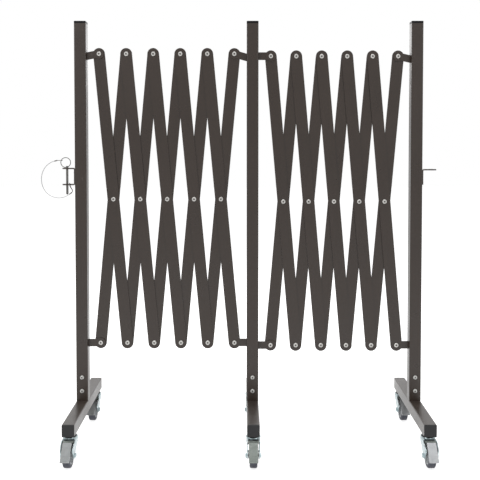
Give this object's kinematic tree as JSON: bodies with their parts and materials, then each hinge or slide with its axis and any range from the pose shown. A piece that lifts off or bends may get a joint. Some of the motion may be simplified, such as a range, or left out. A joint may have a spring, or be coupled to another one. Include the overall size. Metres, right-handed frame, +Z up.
{
  "type": "expandable safety barrier",
  "caption": "Folding crowd barrier: steel posts on braked swivel casters joined by scissor lattices that open sideways, with a linking tab and a pinned clevis on a wire.",
  "frame": {"origin": "on the floor under the middle of the barrier's length and depth, without its free wire", "axes": "+X along the barrier to the viewer's right, +Y to the back, +Z up"},
  "size_m": [1.3505, 0.556, 1.434],
  "materials": {
    "powder_coat": "fine textured powder coat, dark bronze",
    "caps": "moulded black",
    "fork": "bright zinc plate",
    "pedal": "dull zinc plate",
    "tyre": "dark blue-grey rubber, light grey hub",
    "bright_steel": "zinc plated",
    "wire": "stranded steel wire"
  },
  "bodies": {
    "middle_stand": {"middle_post": "powder_coat", "middle_foot": "powder_coat", "middle_caps": "caps", "middle_fixings": "bright_steel"},
    "left_stand": {"left_post": "powder_coat", "left_foot": "powder_coat", "left_caps": "caps", "left_fixings": "bright_steel", "pin_clevis": "powder_coat", "lanyard": "wire", "lanyard_anchor": "wire"},
    "right_stand": {"right_post": "powder_coat", "right_foot": "powder_coat", "right_caps": "caps", "right_fixings": "bright_steel", "link_tab": "powder_coat"},
    "left_front_slat_1": {"left_front_slat_1": "powder_coat"},
    "left_back_slat_1": {"left_back_slat_1": "powder_coat"},
    "left_front_slat_2": {"left_front_slat_2": "powder_coat"},
    "left_back_slat_2": {"left_back_slat_2": "powder_coat"},
    "left_front_slat_3": {"left_front_slat_3": "powder_coat"},
    "left_back_slat_3": {"left_back_slat_3": "powder_coat"},
    "left_front_slat_4": {"left_front_slat_4": "powder_coat"},
    "left_back_slat_4": {"left_back_slat_4": "powder_coat"},
    "left_front_slat_5": {"left_front_slat_5": "powder_coat"},
    "left_back_slat_5": {"left_back_slat_5": "powder_coat"},
    "right_front_slat_1": {"right_front_slat_1": "powder_coat"},
    "right_back_slat_1": {"right_back_slat_1": "powder_coat"},
    "right_front_slat_2": {"right_front_slat_2": "powder_coat"},
    "right_back_slat_2": {"right_back_slat_2": "powder_coat"},
    "right_front_slat_3": {"right_front_slat_3": "powder_coat"},
    "right_back_slat_3": {"right_back_slat_3": "powder_coat"},
    "right_front_slat_4": {"right_front_slat_4": "powder_coat"},
    "right_back_slat_4": {"right_back_slat_4": "powder_coat"},
    "right_front_slat_5": {"right_front_slat_5": "powder_coat"},
    "right_back_slat_5": {"right_back_slat_5": "powder_coat"},
    "left_outer_link": {"left_outer_link": "powder_coat"},
    "left_inner_link": {"left_inner_link": "powder_coat"},
    "right_inner_link": {"right_inner_link": "powder_coat"},
    "right_outer_link": {"right_outer_link": "powder_coat"},
    "lock_pin": {"lock_pin": "bright_steel", "pull_ring": "bright_steel"},
    "left_front_fork": {"left_front_fork": "fork"},
    "left_front_wheel": {"left_front_wheel": "tyre"},
    "left_front_pedal": {"left_front_pedal": "pedal"},
    "left_rear_fork": {"left_rear_fork": "fork"},
    "left_rear_wheel": {"left_rear_wheel": "tyre"},
    "left_rear_pedal": {"left_rear_pedal": "pedal"},
    "middle_front_fork": {"middle_front_fork": "fork"},
    "middle_front_wheel": {"middle_front_wheel": "tyre"},
    "middle_front_pedal": {"middle_front_pedal": "pedal"},
    "middle_rear_fork": {"middle_rear_fork": "fork"},
    "middle_rear_wheel": {"middle_rear_wheel": "tyre"},
    "middle_rear_pedal": {"middle_rear_pedal": "pedal"},
    "right_front_fork": {"right_front_fork": "fork"},
    "right_front_wheel": {"right_front_wheel": "tyre"},
    "right_front_pedal": {"right_front_pedal": "pedal"},
    "right_rear_fork": {"right_rear_fork": "fork"},
    "right_rear_wheel": {"right_rear_wheel": "tyre"},
    "right_rear_pedal": {"right_rear_pedal": "pedal"}
  },
  "joints": [
    {"name": "right_opening", "type": "hinge", "parent": "middle_stand", "child": "right_back_slat_1", "pos_m": [0.08736, 0.02798, 0.325], "axis": [0, 1, 0], "range_deg": [-2.6, 17]},
    {"name": "right_cross_1", "type": "hinge", "parent": "right_back_slat_1", "child": "right_front_slat_1", "pos_m": [0.13072, 0.02798, 0.82061], "axis": [0, -1, 0], "range_deg": [-5.2, 34]},
    {"name": "right_bottom_1", "type": "hinge", "parent": "right_front_slat_1", "child": "right_back_slat_2", "pos_m": [0.17408, 0.02798, 0.325], "axis": [0, 1, 0], "range_deg": [-5.2, 34]},
    {"name": "right_top_2", "type": "hinge", "parent": "right_back_slat_2", "child": "right_front_slat_3", "pos_m": [0.2608, 0.02798, 1.31621], "axis": [0, -1, 0], "range_deg": [-5.2, 34]},
    {"name": "right_bottom_3", "type": "hinge", "parent": "right_front_slat_3", "child": "right_back_slat_4", "pos_m": [0.34752, 0.02798, 0.325], "axis": [0, 1, 0], "range_deg": [-5.2, 34]},
    {"name": "right_top_4", "type": "hinge", "parent": "right_back_slat_4", "child": "right_front_slat_5", "pos_m": [0.43424, 0.02798, 1.31621], "axis": [0, -1, 0], "range_deg": [-5.2, 34]},
    {"name": "right_stand_lug", "type": "hinge", "parent": "right_front_slat_5", "child": "right_stand", "pos_m": [0.52096, 0.02798, 0.325], "axis": [0, 1, 0], "range_deg": [-2.6, 17]},
    {"name": "right_cross_2", "type": "hinge", "parent": "right_back_slat_2", "child": "right_front_slat_2", "pos_m": [0.21744, 0.02798, 0.82061], "axis": [0, -1, 0], "range_deg": [-5.2, 34]},
    {"name": "right_cross_3", "type": "hinge", "parent": "right_front_slat_3", "child": "right_back_slat_3", "pos_m": [0.30416, 0.02798, 0.82061], "axis": [0, 1, 0], "range_deg": [-5.2, 34]},
    {"name": "right_cross_4", "type": "hinge", "parent": "right_back_slat_4", "child": "right_front_slat_4", "pos_m": [0.39088, 0.02798, 0.82061], "axis": [0, -1, 0], "range_deg": [-5.2, 34]},
    {"name": "right_cross_5", "type": "hinge", "parent": "right_front_slat_5", "child": "right_back_slat_5", "pos_m": [0.4776, 0.02798, 0.82061], "axis": [0, 1, 0], "range_deg": [-5.2, 34]},
    {"name": "right_inner_link_turn", "type": "hinge", "parent": "right_front_slat_1", "child": "right_inner_link", "pos_m": [0.08736, 0.02798, 1.31621], "axis": [0, 1, 0], "range_deg": [-2.6, 17]},
    {"name": "right_outer_link_turn", "type": "hinge", "parent": "right_back_slat_5", "child": "right_outer_link", "pos_m": [0.52096, 0.02798, 1.31621], "axis": [0, -1, 0], "range_deg": [-2.6, 17]},
    {"name": "left_opening", "type": "hinge", "parent": "middle_stand", "child": "left_front_slat_5", "pos_m": [-0.03664, 0.02798, 0.3335], "axis": [0, -1, 0], "range_deg": [-2.91, 16.69]},
    {"name": "left_cross_5", "type": "hinge", "parent": "left_front_slat_5", "child": "left_back_slat_5", "pos_m": [-0.08268, 0.02798, 0.82886], "axis": [0, 1, 0], "range_deg": [-5.82, 33.38]},
    {"name": "left_bottom_4", "type": "hinge", "parent": "left_back_slat_5", "child": "left_front_slat_4", "pos_m": [-0.12873, 0.02798, 0.3335], "axis": [0, -1, 0], "range_deg": [-5.82, 33.38]},
    {"name": "left_top_3", "type": "hinge", "parent": "left_front_slat_4", "child": "left_back_slat_3", "pos_m": [-0.22081, 0.02798, 1.32423], "axis": [0, 1, 0], "range_deg": [-5.82, 33.38]},
    {"name": "left_bottom_2", "type": "hinge", "parent": "left_back_slat_3", "child": "left_front_slat_2", "pos_m": [-0.31289, 0.02798, 0.3335], "axis": [0, -1, 0], "range_deg": [-5.82, 33.38]},
    {"name": "left_top_1", "type": "hinge", "parent": "left_front_slat_2", "child": "left_back_slat_1", "pos_m": [-0.40497, 0.02798, 1.32423], "axis": [0, 1, 0], "range_deg": [-5.82, 33.38]},
    {"name": "left_stand_lug", "type": "hinge", "parent": "left_back_slat_1", "child": "left_stand", "pos_m": [-0.49705, 0.02798, 0.3335], "axis": [0, -1, 0], "range_deg": [-2.91, 16.69]},
    {"name": "left_cross_4", "type": "hinge", "parent": "left_front_slat_4", "child": "left_back_slat_4", "pos_m": [-0.17477, 0.02798, 0.82886], "axis": [0, 1, 0], "range_deg": [-5.82, 33.38]},
    {"name": "left_cross_3", "type": "hinge", "parent": "left_back_slat_3", "child": "left_front_slat_3", "pos_m": [-0.26685, 0.02798, 0.82886], "axis": [0, -1, 0], "range_deg": [-5.82, 33.38]},
    {"name": "left_cross_2", "type": "hinge", "parent": "left_front_slat_2", "child": "left_back_slat_2", "pos_m": [-0.35893, 0.02798, 0.82886], "axis": [0, 1, 0], "range_deg": [-5.82, 33.38]},
    {"name": "left_cross_1", "type": "hinge", "parent": "left_back_slat_1", "child": "left_front_slat_1", "pos_m": [-0.45101, 0.02798, 0.82886], "axis": [0, -1, 0], "range_deg": [-5.82, 33.38]},
    {"name": "left_inner_link_turn", "type": "hinge", "parent": "left_back_slat_5", "child": "left_inner_link", "pos_m": [-0.03664, 0.02798, 1.32423], "axis": [0, -1, 0], "range_deg": [-2.91, 16.69]},
    {"name": "left_outer_link_turn", "type": "hinge", "parent": "left_front_slat_1", "child": "left_outer_link", "pos_m": [-0.49705, 0.02798, 1.32423], "axis": [0, 1, 0], "range_deg": [-2.91, 16.69]},
    {"name": "left_front_swivel", "type": "hinge", "parent": "left_stand", "child": "left_front_fork", "pos_m": [-0.55905, -0.18602, 0.0862], "axis": [0, 0, 1], "continuous": true},
    {"name": "left_front_roll", "type": "hinge", "parent": "left_front_fork", "child": "left_front_wheel", "pos_m": [-0.55905, -0.21802, 0.0375], "axis": [1, 0, 0], "continuous": true},
    {"name": "left_front_brake", "type": "hinge", "parent": "left_front_fork", "child": "left_front_pedal", "pos_m": [-0.55905, -0.24002, 0.06], "axis": [-1, 0, 0], "range_deg": [0, 20]},
    {"name": "left_rear_swivel", "type": "hinge", "parent": "left_stand", "child": "left_rear_fork", "pos_m": [-0.55905, 0.24198, 0.0862], "axis": [0, 0, 1], "continuous": true},
    {"name": "left_rear_roll", "type": "hinge", "parent": "left_rear_fork", "child": "left_rear_wheel", "pos_m": [-0.55905, 0.20998, 0.0375], "axis": [1, 0, 0], "continuous": true},
    {"name": "left_rear_brake", "type": "hinge", "parent": "left_rear_fork", "child": "left_rear_pedal", "pos_m": [-0.55905, 0.18798, 0.06], "axis": [-1, 0, 0], "range_deg": [0, 20]},
    {"name": "middle_front_swivel", "type": "hinge", "parent": "middle_stand", "child": "middle_front_fork", "pos_m": [0.02536, -0.18602, 0.0862], "axis": [0, 0, 1], "continuous": true},
    {"name": "middle_front_roll", "type": "hinge", "parent": "middle_front_fork", "child": "middle_front_wheel", "pos_m": [0.02536, -0.21802, 0.0375], "axis": [1, 0, 0], "continuous": true},
    {"name": "middle_front_brake", "type": "hinge", "parent": "middle_front_fork", "child": "middle_front_pedal", "pos_m": [0.02536, -0.24002, 0.06], "axis": [-1, 0, 0], "range_deg": [0, 20]},
    {"name": "middle_rear_swivel", "type": "hinge", "parent": "middle_stand", "child": "middle_rear_fork", "pos_m": [0.02536, 0.24198, 0.0862], "axis": [0, 0, 1], "continuous": true},
    {"name": "middle_rear_roll", "type": "hinge", "parent": "middle_rear_fork", "child": "middle_rear_wheel", "pos_m": [0.02536, 0.20998, 0.0375], "axis": [1, 0, 0], "continuous": true},
    {"name": "middle_rear_brake", "type": "hinge", "parent": "middle_rear_fork", "child": "middle_rear_pedal", "pos_m": [0.02536, 0.18798, 0.06], "axis": [-1, 0, 0], "range_deg": [0, 20]},
    {"name": "right_front_swivel", "type": "hinge", "parent": "right_stand", "child": "right_front_fork", "pos_m": [0.58296, -0.18602, 0.0862], "axis": [0, 0, 1], "continuous": true},
    {"name": "right_front_roll", "type": "hinge", "parent": "right_front_fork", "child": "right_front_wheel", "pos_m": [0.58296, -0.21802, 0.0375], "axis": [1, 0, 0], "continuous": true},
    {"name": "right_front_brake", "type": "hinge", "parent": "right_front_fork", "child": "right_front_pedal", "pos_m": [0.58296, -0.24002, 0.06], "axis": [-1, 0, 0], "range_deg": [0, 20]},
    {"name": "right_rear_swivel", "type": "hinge", "parent": "right_stand", "child": "right_rear_fork", "pos_m": [0.58296, 0.24198, 0.0862], "axis": [0, 0, 1], "continuous": true},
    {"name": "right_rear_roll", "type": "hinge", "parent": "right_rear_fork", "child": "right_rear_wheel", "pos_m": [0.58296, 0.20998, 0.0375], "axis": [1, 0, 0], "continuous": true},
    {"name": "right_rear_brake", "type": "hinge", "parent": "right_rear_fork", "child": "right_rear_pedal", "pos_m": [0.58296, 0.18798, 0.06], "axis": [-1, 0, 0], "range_deg": [0, 20]},
    {"name": "pin_lift", "type": "slide", "parent": "left_stand", "child": "lock_pin", "axis": [0, 0, 1], "range_m": [0, 0.095], "deforming": ["lanyard"]}
  ],
  "couplings": [
    {"joint": "right_cross_1", "follows": "right_opening", "ratio": 2},
    {"joint": "right_bottom_1", "follows": "right_opening", "ratio": 2},
    {"joint": "right_top_2", "follows": "right_opening", "ratio": 2},
    {"joint": "right_bottom_3", "follows": "right_opening", "ratio": 2},
    {"joint": "right_top_4", "follows": "right_opening", "ratio": 2},
    {"joint": "right_stand_lug", "follows": "right_opening", "ratio": 1},
    {"joint": "right_cross_2", "follows": "right_opening", "ratio": 2},
    {"joint": "right_cross_3", "follows": "right_opening", "ratio": 2},
    {"joint": "right_cross_4", "follows": "right_opening", "ratio": 2},
    {"joint": "right_cross_5", "follows": "right_opening", "ratio": 2},
    {"joint": "right_inner_link_turn", "follows": "right_opening", "ratio": 1},
    {"joint": "right_outer_link_turn", "follows": "right_opening", "ratio": 1},
    {"joint": "left_cross_5", "follows": "left_opening", "ratio": 2},
    {"joint": "left_bottom_4", "follows": "left_opening", "ratio": 2},
    {"joint": "left_top_3", "follows": "left_opening", "ratio": 2},
    {"joint": "left_bottom_2", "follows": "left_opening", "ratio": 2},
    {"joint": "left_top_1", "follows": "left_opening", "ratio": 2},
    {"joint": "left_stand_lug", "follows": "left_opening", "ratio": 1},
    {"joint": "left_cross_4", "follows": "left_opening", "ratio": 2},
    {"joint": "left_cross_3", "follows": "left_opening", "ratio": 2},
    {"joint": "left_cross_2", "follows": "left_opening", "ratio": 2},
    {"joint": "left_cross_1", "follows": "left_opening", "ratio": 2},
    {"joint": "left_inner_link_turn", "follows": "left_opening", "ratio": 1},
    {"joint": "left_outer_link_turn", "follows": "left_opening", "ratio": 1}
  ]
}
